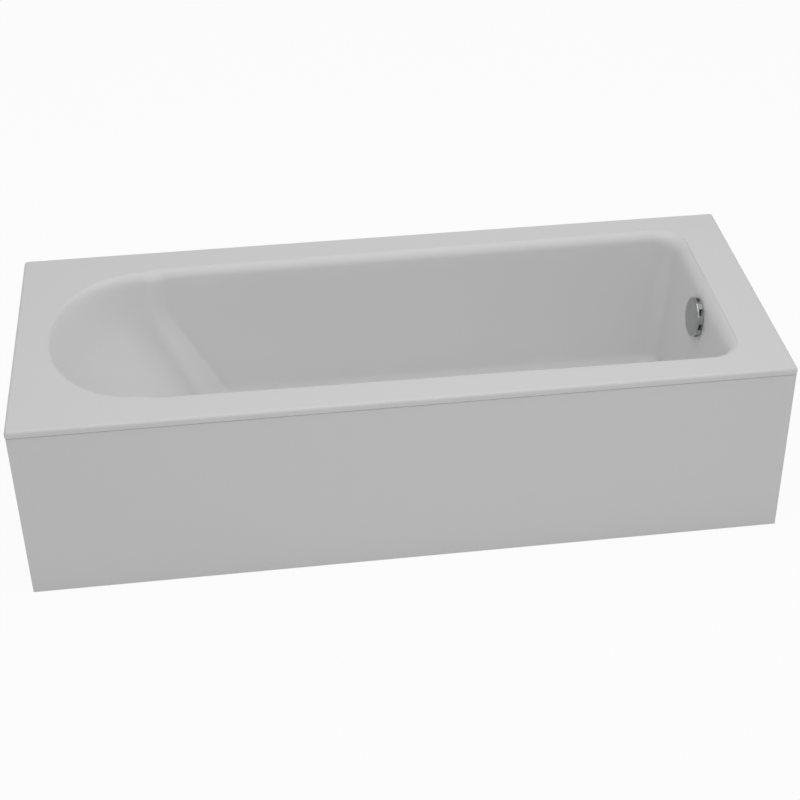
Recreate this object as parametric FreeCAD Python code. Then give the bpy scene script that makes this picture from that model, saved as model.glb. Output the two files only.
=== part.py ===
import FreeCAD, Part
import math
import os
from FreeCAD import Vector

# Whole bath, in millimetres: x from head end to foot end, y from front to wall, z up from the floor
bath_length = 1700.0
bath_width = 700.0
rim_height = 442.0
floor_height = 72.0

# Room added to every cutting shape so that it passes clean through
overrun = 3.0

# Acrylic sheet: wall, lip hanging from the rim and the rolls of the basin's edge, whose starts are
# the slopes, in degrees, at which the sides, the foot end and the hollow leave the rim
acrylic_wall = 5.0
lip_height = 15.0
lip_corner_radius = 8.0
lip_edge_radius = 7.0
edge_roll_radius = 24.0
edge_roll_start = 14.0
foot_roll_radius = 48.0
foot_roll_start = 37.0
hollow_roll_radius = 7.0
least_roll_radius = 0.5
edge_flare = 2.0

# Rim widths, from the outer edge to where each basin wall would meet the plane of the rim
head_rim = 86.0
foot_rim = 118.0
side_rim_head = 100.0
side_rim_foot = 83.0

# Basin walls and floor
basin_depth = rim_height - floor_height
wall_draft_share = 0.0787
foot_draft_share = 0.09
floor_roll_radius = 42.0
floor_fall = 6.0
foot_corner_radius = 36.0
foot_corner_flare = 34.0
foot_corner_fade = 50.0

# Backrest: a sloping plane below two shoulders, with a hollow that narrows down to the floor
shoulder_setback = 5.0
shoulder_depth_share = 0.293
shoulder_blend = 10.0
backrest_run_share = 0.534
hollow_step = 11.0
hollow_narrowing = 50.0
hollow_taper_power = 1.2
hollow_run_share = 0.5
hollow_floor_run = 101.0
strip_run = 37.0
ridge_radius = 45.0
ridge_strip_share = 0.45
crease_radius = 6.0
crease_strip_share = 0.2
least_ridge_share = 0.12
basin_degree = 3
edge_turn_shares = (0.1, 0.28, 0.46, 0.64, 0.82, 1)
floor_turn_shares = (0.2, 0.4, 0.6, 0.8, 1)
wall_shares = (0.02, 0.06, 0.13, 0.22, 0.29, 0.36, 0.43, 0.52, 0.64, 0.78, 0.9, 0.96, 1.0)

# Glass fibre backing, base board and battens
bond_gap = 0.4
backing_wall = 3.0
backing_drop = 32.0
board_thickness = 12.0
board_head_gap = 70.0
board_waste_gap = 95.0
board_side_gap = 180.0
bedding_edge = 6.0
batten_width = 32.0
batten_height = 20.0
batten_edge_gap = 10.0
side_batten_end_gap = 60.0
end_batten_side_gap = 60.0

# Cradle rails, screws and levelling feet
rail_width = 40.0
rail_height = 25.0
rail_wall = 2.0
rail_end_gap = 50.0
rail_inset = 70.0
rail_screw_radius = 2.2
rail_screw_head_radius = 4.5
rail_screw_head_height = 2.6
rail_screw_bite = 9.0
rail_screw_shares = (-0.82, -0.35, 0.35, 0.82)
screw_clearance = 0.1
foot_edge_gap = 75.0
stud_radius = 6.0
stud_running_clearance = 0.05
stud_above_rail = 26.0
pad_radius = 23.0
pad_top_radius = 15.0
pad_height = 14.0
pad_skirt_height = 6.0
pad_socket_depth = 8.0
nut_across_flats = 19.0
nut_height = 10.0

# Front panel: tray of sheet with a stepped upstand that tucks behind the lip
panel_sheet = 3.0
panel_setback = 2.0
panel_end_gap = 2.0
panel_floor_gap = 2.0
panel_lip_gap = 2.5
panel_return_depth = 26.0
panel_edge_radius = 1.5
upstand_setback = 6.5
upstand_height = 12.5
upstand_end_gap = 10.0

# Panel clips, catch arms, magnets and strike plates
clip_thickness = 1.0
clip_width = 40.0
clip_height = 17.0
clip_panel_gap = 0.3
clip_end_gap = 190.0
clip_count = 4
arm_width = 30.0
arm_height = 18.0
arm_tongue = 8.0
arm_gap = 0.3
magnet_radius = 8.0
magnet_thickness = 4.0
strike_thickness = 1.0
strike_size = 26.0

# Wall brackets and their screws
bracket_end_gap = 350.0
bracket_width = 50.0
bracket_sheet = 3.0
bracket_drop = 45.0
bracket_leg = 40.0
wall_hole_radius = 4.0
wall_hole_drop = 29.0
bracket_screw_radius = 2.2
bracket_screw_head_radius = 4.2
bracket_screw_head_height = 2.5
bracket_screw_bite = 15.0
bracket_screw_spacing = 30.0

# Waste: recess, flange, seals, body, plug and lift lever
drain_from_foot = 157.0
recess_radius = 42.0
recess_depth = 3.0
drain_hole_radius = 26.0
waste_flange_radius = 38.0
waste_flange_thickness = 2.5
waste_tube_radius = 24.5
waste_tube_wall = 2.5
waste_bevel = 1.0
thread_clearance = 0.1
upper_seal_thickness = 1.5
lower_seal_thickness = 3.0
body_flange_radius = 38.0
body_flange_thickness = 4.0
body_radius = 30.0
body_wall = 2.5
body_drop = 60.0
neck_height = 13.6
spider_hub_radius = 7.0
spider_hub_height = 10.0
spider_hub_drop = 4.0
spider_arm_width = 3.0
spider_arms = 3
stem_radius = 4.0
stem_nose_radius = 1.5
stem_nose_height = 4.0
running_clearance = 0.05
plug_radius = 31.0
plug_thickness = 3.0
plug_dome = 2.0
plug_seal_outer = 28.0
plug_seal_inner = 22.5
plug_seal_thickness = 2.0
plug_gap = 0.3
plug_socket_depth = 2.0
lever_reach = 22.0
lever_pivot_y = 20.0
lever_pivot_drop = 44.0
lever_rest_angle = 16.5
lever_height = 5.0
lever_width = 8.0
lever_hub_radius = 4.5
lever_crank = 9.0
lever_stem_gap = 0.3
pin_radius = 2.0
pin_half_length = 21.0

# Trap: one bent pipe from the waste body to the outlet by the wall
pipe_radius = 20.0
pipe_wall = 2.5
spigot_drop = 37.5
spigot_reach = 55.0
trap_dip_drop = 47.0
trap_fall_run = 35.0
trap_slope_run = 24.0
riser_from_foot_edge = 60.0
outlet_rise = 6.0
outlet_wall_gap = 50.0
trap_dip_bend = 55.0
trap_bend = 26.0
union_nut_radius = 25.0
union_nut_length = 26.0
union_nut_clearance = 0.2
union_nut_ribs = 12
union_nut_rib_radius = 2.0

# Overflow: inner flange, gasket, housing, spindle, crank and knob along the foot wall's own axis
overflow_drop = 78.0
overflow_hole_radius = 26.0
overflow_flange_radius = 36.0
overflow_flange_thickness = 3.0
overflow_seat_gap = 0.1
overflow_tube_radius = 25.5
overflow_tube_wall = 2.5
overflow_tube_length = 13.0
overflow_hub_radius = 8.0
overflow_hub_length = 10.0
overflow_spoke_width = 10.0
overflow_screw_radius = 2.0
overflow_screw_head_radius = 4.0
overflow_screw_head_height = 2.0
overflow_screw_offset = 18.0
overflow_screw_bite = 8.0
overflow_screw_post_radius = 5.0
gasket_thickness = 3.0
gasket_inner_radius = 28.0
gasket_outer_radius = 37.0
housing_flange_radius = 38.0
housing_flange_thickness = 4.0
housing_radius = 33.0
housing_wall = 2.5
housing_depth = 30.0
bearing_radius = 7.0
bearing_length = 6.5
bearing_bottom = 1.5
spindle_radius = 4.0
spindle_end_gap = 0.3
crank_radius = 11.0
crank_thickness = 5.0
crank_setback = 7.0
crank_pin_radius = 2.0
crank_pin_offset = 7.5
crank_pin_length = 5.0
knob_radius = 47.0
knob_height = 18.0
knob_wall = 3.0
knob_face = 4.0
knob_edge_radius = 4.0
knob_dome = 1.8
knob_wall_gap = 1.5
knob_hub_radius = 9.0
knob_hub_foot_gap = 2.0
knob_notch_width = 16.0
knob_notch_depth = 9.5
knob_notches = 8

# Ribbed overflow hose, its collars and the control cable
hose_crest_radius = 16.0
hose_root_radius = 14.0
hose_bore_radius = 12.5
hose_rib_pitch = 6.0
hose_rib_shares = (0.15, 0.4, 0.55, 1.0)
hose_rib_radii = (hose_root_radius, hose_root_radius, hose_crest_radius, hose_crest_radius)
hose_inlet_reach = 54.0
hose_inlet_drop = 36.0
housing_outlet_drop = 56.0
hose_end_run = 76.0
hose_side_swing = 140.0
hose_bend = 60.0
hose_bend_shares = (1.5, 0.85, 1.4, 1.0)
hose_lean = 4.0
hose_low_rise = 49.0
hose_floor_run = 120.0
collar_radius = 20.0
collar_length = 24.0
collar_clearance = 0.2
cable_radius = 2.5
cable_clearance = 0.1
cable_straight = 44.0
cable_lean = 26.0
cable_low_rise = 21.0
cable_swing = 84.0
cable_floor_run = 100.0
cable_bend = 50.0
cable_end_bend = 35.0
gland_radius = 6.0
gland_y = 24.0
gland_drop = 38.0
gland_overlap = 8.0
waste_gland_drop = 48.0
waste_gland_reach = 44.0

# Places worked out from the sizes above
half_length = bath_length / 2
half_width = bath_width / 2
foot_wall_x = half_length - foot_rim
head_nose_x = head_rim - half_length
basin_half_head = half_width - side_rim_head
basin_half_foot = half_width - side_rim_foot
head_centre_x = head_nose_x + basin_half_head
shoulder_x = head_centre_x - shoulder_setback
side_taper = (basin_half_foot - basin_half_head) / (foot_wall_x - head_centre_x)
floor_z = floor_height
shoulder_depth = shoulder_depth_share * basin_depth
lip_bottom_z = rim_height - lip_height
rim_under_z = rim_height - acrylic_wall
drain_x = foot_wall_x - drain_from_foot
recess_z = floor_z - recess_depth
body_bottom_z = floor_z - body_drop
lever_pivot_z = floor_z - lever_pivot_drop
spigot_z = floor_z - spigot_drop
trap_dip_z = floor_z - trap_dip_drop
outlet_z = floor_z + outlet_rise
hose_inlet_z = floor_z - hose_inlet_drop
waste_gland_z = floor_z - waste_gland_drop
shell_boss_z = recess_z - acrylic_wall
backing_grow = acrylic_wall + bond_gap
backing_skin = backing_grow + backing_wall
backing_boss_z = shell_boss_z - bond_gap - backing_wall
board_top_z = floor_z - backing_skin
board_bottom_z = board_top_z - board_thickness
rail_bottom_z = board_bottom_z - rail_height
board_head_x = shoulder_x + backrest_run_share * (basin_depth - shoulder_depth) + board_head_gap
board_foot_x = drain_x - board_waste_gap
board_half_width = half_width - board_side_gap
rail_head_x = board_head_x + rail_inset
rail_foot_x = board_foot_x - rail_inset
rail_half_length = half_width - rail_end_gap
foot_y = half_width - foot_edge_gap
bracket_x = half_length - bracket_end_gap
clip_spacing = (bath_length - 2 * clip_end_gap) / (clip_count - 1)
web_bottom_z = board_bottom_z - rail_wall


def box(x0, x1, y0, y1, z0, z1):
    """Block between two x, two y and two z places."""
    return Part.makeBox(x1 - x0, y1 - y0, z1 - z0, Vector(x0, y0, z0))


def rod(radius, start, end):
    """Round bar from one point to another."""
    run = end - start
    return Part.makeCylinder(radius, run.Length, start, run)


def upright(radius, x, y, z0, z1):
    """Round bar standing on a point of the plan."""
    return rod(radius, Vector(x, y, z0), Vector(x, y, z1))


def ring(outer, inner, x, y, z0, z1):
    """Upright ring."""
    hole = upright(inner, x, y, z0 - overrun, z1 + overrun)
    return upright(outer, x, y, z0, z1).cut(hole)


def prism(points, run):
    """Closed outline swept along a straight run."""
    face = Part.Face(Part.makePolygon(points + points[:1]))
    return face.extrude(run)


def joined(first, *others):
    """Several solids of one piece made into one."""
    return first.multiFuse(list(others)).removeSplitter()


def save(node, *solids):
    """Write one piece, or one group of like pieces, as its own file."""
    shape = solids[0] if len(solids) == 1 else Part.makeCompound(list(solids))
    for solid in shape.Solids:
        if not solid.isValid():
            raise ValueError(node + " is not a valid solid")
    shape.exportStep(os.path.join("parts", node + ".step"))
    print(node, len(shape.Solids), round(shape.Volume))


def bent_path(points, radii):
    """Straight runs joined by tangent arcs, with one radius for each inner point."""
    edges = []
    at = points[0]
    for before, corner, after, radius in zip(points, points[1:], points[2:], radii):
        back = (before - corner).normalize()
        on = (after - corner).normalize()
        half = back.getAngle(on) / 2
        reach = radius / math.tan(half)
        start = corner + back * reach
        end = corner + on * reach
        middle = (back + on).normalize()
        top = corner + middle * (radius / math.sin(half) - radius)
        edges.append(Part.LineSegment(at, start).toShape())
        edges.append(Part.Arc(start, top, end).toShape())
        at = end
    edges.append(Part.LineSegment(at, points[-1]).toShape())
    return Part.Wire(edges)


def swept(path, radius):
    """Round bar along a bent path."""
    first = path.OrderedEdges[0]
    start = first.valueAt(first.FirstParameter)
    along = first.tangentAt(first.FirstParameter)
    circle = Part.Wire(Part.Circle(start, along, radius).toShape())
    return path.makePipeShell([circle], True, False)


def wall_offset(depth, grow, roll, start):
    """How far a wall stands outside its plain line: rolled out at the rim, in at the floor."""
    radius = max(roll - grow, least_roll_radius)
    turn = math.radians(start)
    rise = roll * math.cos(turn) - depth
    flare = rise - radius * math.cos(turn)
    if flare > 0:
        return grow + radius - radius * math.sin(turn) + flare / math.tan(turn)
    if rise > 0:
        return grow + radius - math.sqrt(radius ** 2 - rise ** 2)
    floor_start = basin_depth - floor_roll_radius
    if depth > floor_start:
        sink = depth - floor_start
        return math.sqrt(max((floor_roll_radius + grow) ** 2 - sink ** 2, 0)) - floor_roll_radius
    return grow


def rounded(before, corner, after, radius):
    """Start, middle and end of the arc that rounds a corner of a plan outline."""
    back = (before - corner).normalize()
    on = (after - corner).normalize()
    half = back.getAngle(on) / 2
    reach = radius / math.tan(half)
    middle = (back + on).normalize()
    top = corner + middle * (radius / math.sin(half) - radius)
    return corner + back * reach, top, corner + on * reach


def basin_outline(depth, grow):
    """Closed plan outline of the basin at one depth, grown outwards for the hidden side."""
    z = rim_height - depth
    out = wall_offset(depth, grow, edge_roll_radius, edge_roll_start)
    foot_out = wall_offset(depth, grow, foot_roll_radius, foot_roll_start)
    hollow_out = wall_offset(depth, grow, hollow_roll_radius, edge_roll_start)
    side_edge = wall_offset(0, 0, edge_roll_radius, edge_roll_start)
    hollow_edge = side_edge - wall_offset(0, 0, hollow_roll_radius, edge_roll_start)
    share = min(max(depth / basin_depth, 0), 1)
    foot_x = foot_wall_x - foot_draft_share * depth + foot_out
    step = (depth - shoulder_depth) / shoulder_blend
    rest_x = shoulder_x + backrest_run_share * shoulder_blend * math.log(1 + math.exp(step)) - out
    plain_half = basin_half_head - wall_draft_share * depth
    head_half = plain_half + side_taper * (rest_x - head_centre_x) + out
    foot_half = plain_half + side_taper * (foot_x - head_centre_x) + out
    narrowing = hollow_step + hollow_narrowing * share ** hollow_taper_power
    hollow_half = head_half - narrowing
    bowl_half = plain_half - narrowing + hollow_edge + hollow_out
    nose_x = head_nose_x - hollow_edge + hollow_run_share * depth + hollow_floor_run * share ** 3 - hollow_out
    corner = foot_corner_radius + foot_corner_flare * math.exp(-depth / foot_corner_fade) + grow

    foot = Vector(foot_x, foot_half, z)
    inner = Vector(rest_x, head_half, z)
    edge = Vector(rest_x - strip_run, hollow_half, z)
    into_hollow = Vector(nose_x, bowl_half, z)
    foot_arc = rounded(Vector(foot_x, 0, z), foot, inner, corner)
    strip_length = (inner - edge).Length
    crease_half = (foot - inner).getAngle(edge - inner) / 2
    crease = min(crease_radius + grow, crease_strip_share * strip_length * math.tan(crease_half))
    crease_arc = rounded(foot, inner, edge, crease)
    ridge_half = (inner - edge).getAngle(into_hollow - edge) / 2
    ridge = min(ridge_radius, ridge_strip_share * strip_length * math.tan(ridge_half))
    ridge = max(ridge - grow, least_ridge_share * strip_length * math.tan(ridge_half))
    ridge_arc = rounded(inner, edge, into_hollow, ridge)

    def far(point):
        return Vector(point.x, -point.y, point.z)

    lip = ridge_arc[2]
    root_half = math.sqrt(1 / 2)
    hollow = Part.BSplineCurve()
    poles = [lip, into_hollow, Vector(nose_x, 0, z), far(into_hollow), far(lip)]
    hollow.buildFromPolesMultsKnots(poles, [3, 2, 3], [0, 1, 2], False, 2, [1, root_half, 1, root_half, 1])
    edges = [
        Part.LineSegment(far(foot_arc[0]), foot_arc[0]).toShape(),
        Part.Arc(*foot_arc).toShape(),
        Part.LineSegment(foot_arc[2], crease_arc[0]).toShape(),
        Part.Arc(*crease_arc).toShape(),
        Part.LineSegment(crease_arc[2], ridge_arc[0]).toShape(),
        Part.Arc(*ridge_arc).toShape(),
        hollow.toShape(),
        Part.Arc(*[far(p) for p in reversed(ridge_arc)]).toShape(),
        Part.LineSegment(far(ridge_arc[0]), far(crease_arc[2])).toShape(),
        Part.Arc(*[far(p) for p in reversed(crease_arc)]).toShape(),
        Part.LineSegment(far(crease_arc[0]), far(foot_arc[2])).toShape(),
        Part.Arc(*[far(p) for p in reversed(foot_arc)]).toShape(),
    ]
    wire = Part.Wire(edges)
    floor_start = basin_depth - floor_roll_radius
    way = min(max((depth - shoulder_depth) / (floor_start - shoulder_depth), 0), 1)
    tilt = math.degrees(floor_fall / (drain_x - head_centre_x)) * way * way * (3 - 2 * way)
    wire.rotate(Vector(drain_x, 0, z), Vector(0, 1, 0), tilt)
    return wire


def basin_depths(grow, first):
    """Depths of the outlines: close together on the two rolls and wide on the straight walls."""
    edge_turns = [math.radians(edge_roll_start + (90 - edge_roll_start) * s) for s in edge_turn_shares]
    floor_turns = [math.radians(90 * s) for s in floor_turn_shares]
    floor_start = basin_depth - floor_roll_radius
    roll_end = edge_roll_radius * math.cos(math.radians(edge_roll_start))
    top = [grow - edge_flare]
    top += [roll_end - (edge_roll_radius - grow) * math.cos(a) for a in edge_turns]
    walls = [roll_end + s * (floor_start - roll_end) for s in wall_shares]
    bottom = [floor_start + (floor_roll_radius + grow) * math.sin(a) for a in floor_turns]
    return [d for d in top + walls + bottom if d >= first]


def basin(grow, first=-edge_flare):
    """Solid that fills the basin, grown outwards by a wall."""
    outlines = [basin_outline(d, grow) for d in basin_depths(grow, first)]
    return Part.makeLoft(outlines, True, False, False, basin_degree)


def bath_shell():
    """Acrylic sheet: rim, lip, basin walls and floor, with the waste and overflow holes."""
    rim = box(-half_length, half_length, -half_width, half_width, lip_bottom_z, rim_height)
    rim = rim.makeFillet(lip_corner_radius, [e for e in rim.Edges if e.tangentAt(0).z != 0])
    top = [e for e in rim.Edges if e.BoundBox.ZMin > rim_under_z]
    rim = rim.makeFillet(lip_edge_radius, top)
    hollow_x = half_length - acrylic_wall
    hollow_y = half_width - acrylic_wall
    under = box(-hollow_x, hollow_x, -hollow_y, hollow_y, lip_bottom_z - overrun, rim_under_z)
    inner_corner = lip_corner_radius - acrylic_wall
    under = under.makeFillet(inner_corner, [e for e in under.Edges if e.tangentAt(0).z != 0])
    inner_edge = [e for e in under.Edges if e.BoundBox.ZMin > lip_bottom_z]
    under = under.makeFillet(lip_edge_radius - acrylic_wall, inner_edge)
    rim = rim.cut(under)
    outside = basin(acrylic_wall)
    inside = basin(0)
    boss = upright(recess_radius + acrylic_wall, drain_x, 0, shell_boss_z, floor_z - acrylic_wall / 2)
    sheet = rim.fuse(outside).fuse(boss).cut(inside)
    sheet = sheet.cut(upright(recess_radius, drain_x, 0, recess_z, floor_z + floor_fall))
    sheet = sheet.cut(upright(drain_hole_radius, drain_x, 0, shell_boss_z - overrun, floor_z))
    return sheet.cut(overflow_rod(overflow_hole_radius, -overrun, acrylic_wall + overrun))


def fibreglass_backing():
    """Glass fibre layer behind the basin, thickened to a flat seat for the base board."""
    skin = basin(backing_skin, backing_drop)
    seat = box(*board_plan(bedding_edge), board_top_z, floor_z)
    boss_radius = recess_radius + backing_skin
    boss = upright(boss_radius, drain_x, 0, backing_boss_z, floor_z)
    layer = skin.fuse(seat).fuse(boss).cut(basin(backing_grow))
    boss_room = recess_radius + backing_grow
    layer = layer.cut(upright(boss_room, drain_x, 0, shell_boss_z - bond_gap, floor_z))
    layer = layer.cut(upright(drain_hole_radius, drain_x, 0, backing_boss_z - overrun, floor_z))
    return layer.cut(overflow_rod(gasket_inner_radius, 0, backing_skin + overrun))


def board_plan(edge):
    """Plan corners of the base board, grown by an edge."""
    half = board_half_width + edge
    return board_head_x - edge, board_foot_x + edge, -half, half


# Axis of the overflow: square to the foot wall, with local z running out of the basin and local x down
overflow_axis = Vector(1, 0, -foot_draft_share).normalize()
overflow_down = Vector(-foot_draft_share, 0, -1).normalize()
overflow_centre = Vector(foot_wall_x - foot_draft_share * overflow_drop, 0, rim_height - overflow_drop)
overflow_turn = FreeCAD.Rotation(overflow_down, Vector(0, 1, 0), overflow_axis, "ZXY")
overflow_place = FreeCAD.Placement(overflow_centre, overflow_turn)
housing_outlet_z = overflow_centre.z - housing_outlet_drop
gland_bottom_z = overflow_centre.z - gland_drop


def placed(shape):
    """Shape moved as it is to the overflow's place."""
    moved = shape.copy()
    moved.Placement = overflow_place.multiply(moved.Placement)
    return moved


def overflow_rod(radius, start, end):
    """Round bar along the overflow's axis between two distances behind the wall's face."""
    return placed(rod(radius, Vector(0, 0, start), Vector(0, 0, end)))


def base_board():
    """Chipboard under the floor, with holes for the cradle's screws."""
    board = box(*board_plan(0), board_bottom_z, board_top_z)
    for x, y in rail_screw_places():
        hole = rail_screw_radius + screw_clearance
        board = board.cut(upright(hole, x, y, web_bottom_z,
                                  board_bottom_z + rail_screw_bite + screw_clearance))
    return board


def rail_screw_places():
    """Plan places of the screws that hold both rails to the board."""
    across = [share * board_half_width for share in rail_screw_shares]
    return [(x, y) for x in (rail_head_x, rail_foot_x) for y in across]


def foot_places():
    """Plan places of the four levelling feet."""
    return [(x, y) for x in (rail_head_x, rail_foot_x) for y in (-foot_y, foot_y)]


def cradle_rail(x):
    """Galvanised channel across the bath, open below."""
    side = rail_width / 2
    rail = box(x - side, x + side, -rail_half_length, rail_half_length, rail_bottom_z, board_bottom_z)
    room = side - rail_wall
    rail = rail.cut(box(x - room, x + room, -rail_half_length - overrun, rail_half_length + overrun,
                        rail_bottom_z - overrun, web_bottom_z))
    for screw_x, y in rail_screw_places():
        if screw_x == x:
            hole = rail_screw_radius + screw_clearance
            rail = rail.cut(upright(hole, x, y, web_bottom_z - overrun, board_bottom_z + overrun))
    for y in (-foot_y, foot_y):
        hole = stud_radius + stud_running_clearance
        rail = rail.cut(upright(hole, x, y, web_bottom_z - overrun, board_bottom_z + overrun))
    return rail


def rail_screw(x, y):
    """Pan head screw from inside the rail up into the base board."""
    head = upright(rail_screw_head_radius, x, y, web_bottom_z - rail_screw_head_height, web_bottom_z)
    shank = upright(rail_screw_radius, x, y, web_bottom_z, board_bottom_z + rail_screw_bite)
    return joined(head, shank)


def nut(x, y, z):
    """Hexagon nut with a running bore for the foot stud."""
    reach = nut_across_flats / math.sqrt(3)
    corners = []
    for k in range(6):
        turn = math.radians(60 * k)
        corners.append(Vector(x + reach * math.cos(turn), y + reach * math.sin(turn), z))
    body = prism(corners, Vector(0, 0, nut_height))
    bore = stud_radius + stud_running_clearance
    return body.cut(upright(bore, x, y, z - overrun, z + nut_height + overrun))


def foot_stud(x, y):
    """Levelling stud from the pad's socket up through the rail and its nuts."""
    top = board_bottom_z + stud_above_rail
    stud = upright(stud_radius, x, y, pad_height - pad_socket_depth, top)
    tip = [e for e in stud.Edges if e.BoundBox.ZMin > top - stud_running_clearance]
    return stud.makeChamfer(stud_radius / 6, tip)


def foot_pad(x, y):
    """Moulded foot: flat skirt, cone and a blind socket for the stud."""
    skirt = upright(pad_radius, x, y, 0, pad_skirt_height)
    cone_height = pad_height - pad_skirt_height
    cone = Part.makeCone(pad_radius, pad_top_radius, cone_height, Vector(x, y, pad_skirt_height))
    socket = upright(stud_radius, x, y, pad_height - pad_socket_depth, pad_height + overrun)
    return joined(skirt, cone).cut(socket)


# Front panel: faces of the tray and the upstand behind the lip
panel_front_y = panel_setback - half_width
panel_back_y = panel_front_y + panel_sheet
panel_return_y = panel_front_y + panel_return_depth
panel_end_x = half_length - panel_end_gap
panel_top_z = lip_bottom_z - panel_lip_gap
step_bottom_z = panel_top_z - panel_sheet
upstand_front_y = panel_front_y + upstand_setback
upstand_back_y = upstand_front_y + panel_sheet
upstand_top_z = step_bottom_z + upstand_height
upstand_end_x = panel_end_x - upstand_end_gap


def front_panel():
    """Acrylic apron: face, returns along three edges and a stepped upstand."""
    tray = box(-panel_end_x, panel_end_x, panel_front_y, panel_return_y, panel_floor_gap, panel_top_z)
    front = [e for e in tray.Edges if e.BoundBox.YMax < panel_back_y]
    tray = tray.makeFillet(panel_edge_radius, front)
    room_x = panel_end_x - panel_sheet
    tray = tray.cut(box(-room_x, room_x, panel_back_y, panel_return_y + overrun,
                        panel_floor_gap + panel_sheet, step_bottom_z))
    tray = tray.cut(box(-panel_end_x - overrun, panel_end_x + overrun, upstand_back_y,
                        panel_return_y + overrun, step_bottom_z - overrun, panel_top_z + overrun))
    upstand = box(-upstand_end_x, upstand_end_x, upstand_front_y, upstand_back_y, step_bottom_z,
                  upstand_top_z)
    return joined(tray, upstand)


# Battens sit under the rim, inside the lip
batten_bottom_z = rim_under_z - batten_height
batten_outer_y = half_width - acrylic_wall - batten_edge_gap
batten_inner_y = batten_outer_y - batten_width
batten_outer_x = half_length - acrylic_wall - batten_edge_gap
batten_inner_x = batten_outer_x - batten_width


def side_batten(y0, y1):
    """Timber batten along one side of the rim."""
    end = half_length - side_batten_end_gap
    return box(-end, end, y0, y1, batten_bottom_z, rim_under_z)


def rear_batten():
    """Rear batten with blind holes for the wall brackets' screws."""
    batten = side_batten(batten_inner_y, batten_outer_y)
    hole = bracket_screw_radius + screw_clearance
    for x in bracket_screw_xs():
        depth = batten_bottom_z + bracket_screw_bite + screw_clearance
        batten = batten.cut(upright(hole, x, bracket_screw_y, batten_bottom_z - overrun, depth))
    return batten


def end_batten(x0, x1):
    """Timber batten across one end of the rim."""
    end = half_width - end_batten_side_gap
    return box(x0, x1, -end, end, batten_bottom_z, rim_under_z)


def panel_clip(x):
    """Bowed spring leaf between the front batten and the panel's upstand."""
    face_y = -batten_outer_y
    crown_y = upstand_back_y + clip_panel_gap
    low = batten_bottom_z
    high = low + clip_height
    middle = (low + high) / 2
    x0 = x - clip_width / 2
    plan = [(face_y, low), (face_y - clip_thickness, low), (crown_y, middle), (face_y - clip_thickness,
                                                                               high),
            (face_y, high), (face_y, high - clip_thickness), (crown_y + clip_thickness, middle),
            (face_y, low + clip_thickness)]
    return prism([Vector(x0, y, z) for y, z in plan], Vector(clip_width, 0, 0))


def clip_places():
    """Even row of clips along the front batten."""
    return [clip_spacing * (k - (clip_count - 1) / 2) for k in range(clip_count)]


# Catch that holds the foot of the panel: arm in the rail's end, magnet and strike plate
catch_z = rail_bottom_z + rail_height / 2 - rail_wall
strike_back_y = panel_back_y + strike_thickness
magnet_front_y = strike_back_y + clip_panel_gap
arm_front_y = magnet_front_y + magnet_thickness


def catch_arm(x):
    """Moulded arm from the front end of a rail towards the panel."""
    low = catch_z - arm_height / 2
    high = catch_z + arm_height / 2
    side = arm_width / 2
    head = box(x - side, x + side, arm_front_y, -rail_half_length, low, high)
    room = rail_width / 2 - rail_wall - arm_gap
    tongue = box(x - room, x + room, -rail_half_length, -rail_half_length + arm_tongue, low, web_bottom_z)
    return joined(head, tongue)


def catch_magnet(x):
    """Round magnet on the end of a catch arm."""
    return rod(magnet_radius, Vector(x, magnet_front_y, catch_z), Vector(x, arm_front_y, catch_z))


def strike_plate(x):
    """Steel plate glued to the back of the panel, facing a magnet."""
    side = strike_size / 2
    return box(x - side, x + side, panel_back_y, strike_back_y, catch_z - side, catch_z + side)


# Wall brackets hang from the rear batten, flush with the wall
bracket_top_z = batten_bottom_z
bracket_leg_z = bracket_top_z - bracket_sheet
bracket_bottom_z = bracket_top_z - bracket_drop
bracket_screw_y = (batten_inner_y + batten_outer_y) / 2
wall_hole_z = bracket_top_z - wall_hole_drop


def bracket_screw_xs():
    """Places along the rear batten of the bracket screws."""
    side = bracket_screw_spacing / 2
    return [c + s for c in (-bracket_x, bracket_x) for s in (-side, side)]


def wall_bracket(x):
    """Steel angle: one leg under the rear batten, one against the wall."""
    side = bracket_width / 2
    leg = box(x - side, x + side, half_width - bracket_leg, half_width, bracket_leg_z, bracket_top_z)
    back = box(x - side, x + side, half_width - bracket_sheet, half_width, bracket_bottom_z, bracket_top_z)
    angle = joined(leg, back)
    through = Vector(x, half_width + overrun, wall_hole_z)
    angle = angle.cut(rod(wall_hole_radius, Vector(x, half_width - bracket_sheet - overrun, wall_hole_z),
                          through))
    hole = bracket_screw_radius + screw_clearance
    for screw_x in bracket_screw_xs():
        if abs(screw_x - x) < side:
            angle = angle.cut(upright(hole, screw_x, bracket_screw_y, bracket_leg_z - overrun,
                                      bracket_top_z + overrun))
    return angle


def bracket_screw(x):
    """Pan head screw up through a bracket into the rear batten."""
    head = upright(bracket_screw_head_radius, x, bracket_screw_y,
                   bracket_leg_z - bracket_screw_head_height, bracket_leg_z)
    shank = upright(bracket_screw_radius, x, bracket_screw_y, bracket_leg_z,
                    batten_bottom_z + bracket_screw_bite)
    return joined(head, shank)


# Levels of the waste, from the recess in the floor down to the body
upper_seal_top_z = recess_z + upper_seal_thickness
flange_top_z = upper_seal_top_z + waste_flange_thickness
lower_seal_bottom_z = backing_boss_z - lower_seal_thickness
body_flange_bottom_z = lower_seal_bottom_z - body_flange_thickness
neck_bottom_z = lower_seal_bottom_z - neck_height
waste_bore = waste_tube_radius - waste_tube_wall
plug_seal_bottom_z = flange_top_z + plug_gap
plug_bottom_z = plug_seal_bottom_z + plug_seal_thickness
lever_slope = math.radians(lever_rest_angle)
lever_top_z = lever_pivot_z + lever_height / 2 / math.cos(lever_slope)
stem_bottom_z = lever_top_z - (lever_pivot_y - stem_nose_radius) * math.tan(lever_slope) + lever_stem_gap


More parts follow.
